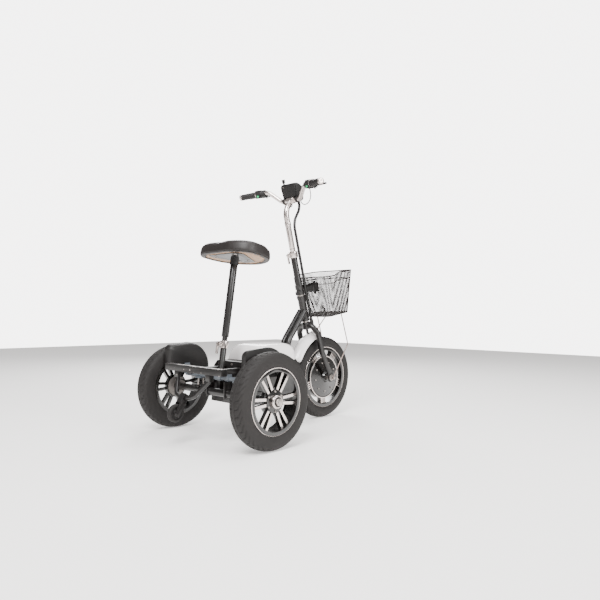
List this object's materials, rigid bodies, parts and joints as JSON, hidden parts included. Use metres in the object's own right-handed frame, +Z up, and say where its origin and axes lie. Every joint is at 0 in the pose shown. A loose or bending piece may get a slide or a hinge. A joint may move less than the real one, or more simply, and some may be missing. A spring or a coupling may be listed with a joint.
{
  "type": "electric mobility scooter",
  "caption": "Three-wheeled sit-down electric mobility scooter with a saddle on a leaning post, hub-motor front wheel, wire basket, white deck cover and an anti-tip wheel.",
  "frame": {"origin": "middle of the footprint, on the ground", "axes": "+X points forward, +Y to the rider's left, +Z up; the ground is Z = 0"},
  "size_m": [1.1924, 0.776, 1.2517],
  "materials": {
    "frame_paint": "satin",
    "silver_alloy": "satin",
    "zinc_steel": "satin",
    "grey_tube": "satin",
    "cast_shoe": "matte",
    "lining": "matte",
    "tyre": "matte",
    "wheel_black": "gloss",
    "black_plastic": "matte",
    "white_plastic": "gloss",
    "battery_case": "matte",
    "plywood": "satin",
    "vinyl": "satin",
    "rubber": "matte",
    "wire": "satin",
    "button_green": "gloss"
  },
  "bodies": {
    "chassis": {"frame_rails": "frame_paint", "rear_beam": "frame_paint", "cross_tube": "grey_tube", "axle_beam": "frame_paint", "rear_axle": "zinc_steel", "bearings": "zinc_steel", "seat_mast": "frame_paint", "seat_clamp": "silver_alloy", "battery_box": "black_plastic", "battery_pack": "battery_case", "controller": "silver_alloy", "deck_cover": "white_plastic", "down_tubes": "frame_paint", "head_tube": "frame_paint", "guard_left": "black_plastic", "guard_right": "black_plastic", "brake_plates": "cast_shoe", "brake_shoes": "lining", "brake_cables": "rubber", "anti_tip_tube": "frame_paint", "anti_tip_bracket": "frame_paint", "frame_bolts": "zinc_steel"},
    "left_rear_wheel": {"rear_tyre_left": "tyre", "rear_rim_left": "wheel_black", "hub_cap_left": "silver_alloy"},
    "right_rear_wheel": {"rear_tyre_right": "tyre", "rear_rim_right": "wheel_black", "hub_cap_right": "silver_alloy"},
    "tip_wheel": {"anti_tip_wheel": "rubber"},
    "seat_cam": {"seat_clamp_lever": "silver_alloy"},
    "seat_slider": {"seat_post": "frame_paint"},
    "seat": {"seat_plate": "frame_paint", "seat_board": "plywood", "seat_cushion": "vinyl"},
    "steering": {"fork": "frame_paint", "front_axle": "zinc_steel", "front_fender": "white_plastic", "stem_lower": "frame_paint", "stem_clamp": "silver_alloy", "basket": "wire", "basket_bracket": "black_plastic", "basket_stays": "zinc_steel", "cable_harness": "rubber"},
    "stem_cam": {"stem_clamp_lever": "silver_alloy"},
    "front_wheel": {"front_tyre": "tyre", "front_rim": "silver_alloy", "motor_shell": "wheel_black"},
    "handlebars": {"stem_upper": "silver_alloy", "handlebar": "silver_alloy", "console": "black_plastic", "lever_housings": "black_plastic", "bar_cables": "rubber", "grip_left": "rubber"},
    "throttle": {"throttle_grip": "rubber"},
    "left_lever": {"brake_lever_left": "frame_paint"},
    "right_lever": {"brake_lever_right": "frame_paint"},
    "ignition_key": {"key": "zinc_steel"},
    "left_button": {"light_button": "button_green"},
    "right_button": {"horn_button": "button_green"}
  },
  "joints": [
    {"name": "left_wheel_spin", "type": "hinge", "parent": "chassis", "child": "left_rear_wheel", "pos_m": [-0.33125, 0.332, 0.2], "axis": [0, 1, 0], "continuous": true},
    {"name": "right_wheel_spin", "type": "hinge", "parent": "chassis", "child": "right_rear_wheel", "pos_m": [-0.33125, -0.332, 0.2], "axis": [0, 1, 0], "continuous": true},
    {"name": "tip_wheel_spin", "type": "hinge", "parent": "chassis", "child": "tip_wheel", "pos_m": [-0.55825, 0, 0.136], "axis": [0, 1, 0], "continuous": true},
    {"name": "seat_cam_turn", "type": "hinge", "parent": "chassis", "child": "seat_cam", "pos_m": [-0.33239, 0, 0.41632], "axis": [0, 1, 0], "range_deg": [0, 100]},
    {"name": "seat_height", "type": "slide", "parent": "chassis", "child": "seat_slider", "axis": [0.1392, 0, 0.9903], "range_m": [-0.015, 0.06]},
    {"name": "seat_swivel", "type": "hinge", "parent": "seat_slider", "child": "seat", "pos_m": [-0.24971, 0, 0.81065], "axis": [0.1392, 0, 0.9903], "range_deg": [-90, 90]},
    {"name": "steer", "type": "hinge", "parent": "chassis", "child": "steering", "pos_m": [0.33261, 0, 0.20427], "axis": [-0.2756, 0, 0.9613], "range_deg": [-40, 40]},
    {"name": "stem_cam_turn", "type": "hinge", "parent": "steering", "child": "stem_cam", "pos_m": [0.11517, 0, 0.85556], "axis": [0, 1, 0], "range_deg": [0, 100]},
    {"name": "front_wheel_spin", "type": "hinge", "parent": "steering", "child": "front_wheel", "pos_m": [0.37875, 0, 0.2175], "axis": [0, 1, 0], "continuous": true},
    {"name": "bar_height", "type": "slide", "parent": "steering", "child": "handlebars", "axis": [-0.2756, 0, 0.9613], "range_m": [-0.015, 0.06], "deforming": ["cable_harness"]},
    {"name": "throttle_twist", "type": "hinge", "parent": "handlebars", "child": "throttle", "pos_m": [0.02935, -0.275, 1.17842], "axis": [-0.3398, -0.9354, -0.0974], "range_deg": [0, 60], "stiffness_Nm_per_rad": 0.15},
    {"name": "left_brake", "type": "hinge", "parent": "handlebars", "child": "left_lever", "pos_m": [0.10964, 0.17057, 1.18896], "axis": [-0.2756, 0, 0.9613], "range_deg": [0, 11], "stiffness_Nm_per_rad": 3},
    {"name": "right_brake", "type": "hinge", "parent": "handlebars", "child": "right_lever", "pos_m": [0.10964, -0.17057, 1.18896], "axis": [0.2756, 0, -0.9613], "range_deg": [0, 11], "stiffness_Nm_per_rad": 3},
    {"name": "key_turn", "type": "hinge", "parent": "handlebars", "child": "ignition_key", "pos_m": [0.10925, 0.04, 1.22629], "axis": [-0.2756, 0, 0.9613], "range_deg": [0, 90]},
    {"name": "left_button_press", "type": "slide", "parent": "handlebars", "child": "left_button", "axis": [0.8992, 0.3535, 0.2578], "range_m": [0, 0.0025], "stiffness_N_per_m": 400},
    {"name": "right_button_press", "type": "slide", "parent": "handlebars", "child": "right_button", "axis": [0.8992, -0.3535, 0.2578], "range_m": [0, 0.0025], "stiffness_N_per_m": 400}
  ]
}
